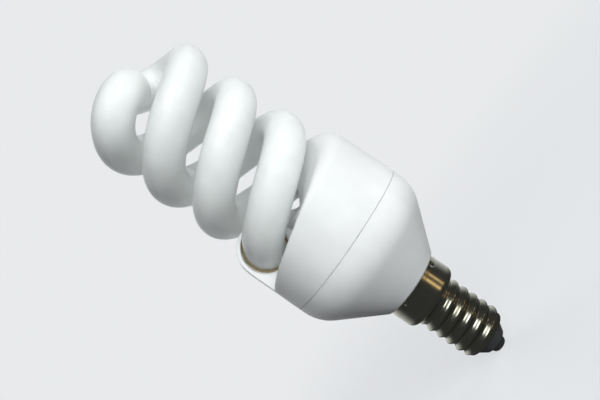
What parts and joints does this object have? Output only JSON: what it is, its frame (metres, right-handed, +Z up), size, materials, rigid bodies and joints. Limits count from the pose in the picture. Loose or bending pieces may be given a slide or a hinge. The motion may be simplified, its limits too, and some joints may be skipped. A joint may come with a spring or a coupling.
{
  "type": "spiral energy saving bulb",
  "caption": "Compact fluorescent lamp: a white spiral discharge tube on a ramped cover and cone-shaped ballast cup, with a small screw cap.",
  "frame": {"origin": "centre of the flat land at the end of the centre contact", "axes": "+Z up the lamp's axis from the cap to the tip of the spiral, +X to the side the picture is taken from"},
  "size_m": [0.0406, 0.0406, 0.115],
  "materials": {
    "milky_glass": "milky white phosphor under clear drawn glass",
    "white_plastic": "white moulded PBT with a satin skin",
    "nickel_shell": "drawn brass with bright nickel plating",
    "black_glass": "black pressed insulating glass",
    "contact_brass": "stamped brass",
    "tin_solder": "dull tin solder",
    "board_laminate": "brown phenolic paper laminate",
    "capacitor_sleeve": "shrunk dark sleeve",
    "ferrite": "ground grey ferrite",
    "bobbin_plastic": "black moulded plastic",
    "copper_wire": "enamelled copper wire",
    "film_dip": "dipped resin",
    "black_resin": "moulded epoxy",
    "resistor_lacquer": "lacquered ceramic",
    "fuse_lacquer": "flame-proof lacquer",
    "diode_glass": "small sealed glass body",
    "tinned_wire": "tinned wire",
    "wire_sleeve": "insulated wire",
    "cement": "cured bonding cement"
  },
  "bodies": {
    "root": {"spiral_tube": "milky_glass", "upper_cover": "white_plastic", "lower_cup": "white_plastic", "cap_shell": "nickel_shell", "cap_insulator": "black_glass", "contact_plate": "contact_brass", "contact_solder": "tin_solder", "circuit_board": "board_laminate", "electrolytic_capacitor": "capacitor_sleeve", "choke_core": "ferrite", "choke_bobbin": "bobbin_plastic", "choke_winding": "copper_wire", "drive_ring": "ferrite", "drive_windings": "copper_wire", "resonance_capacitor": "film_dip", "coupling_capacitor": "film_dip", "transistors": "black_resin", "rectifier_diodes": "black_resin", "resistors": "resistor_lacquer", "fusible_resistor": "fuse_lacquer", "trigger_diode": "diode_glass", "lead_posts": "tinned_wire", "tube_leads": "tinned_wire", "live_wire": "wire_sleeve", "neutral_wire": "wire_sleeve", "tube_cement": "cement"}
  },
  "joints": []
}
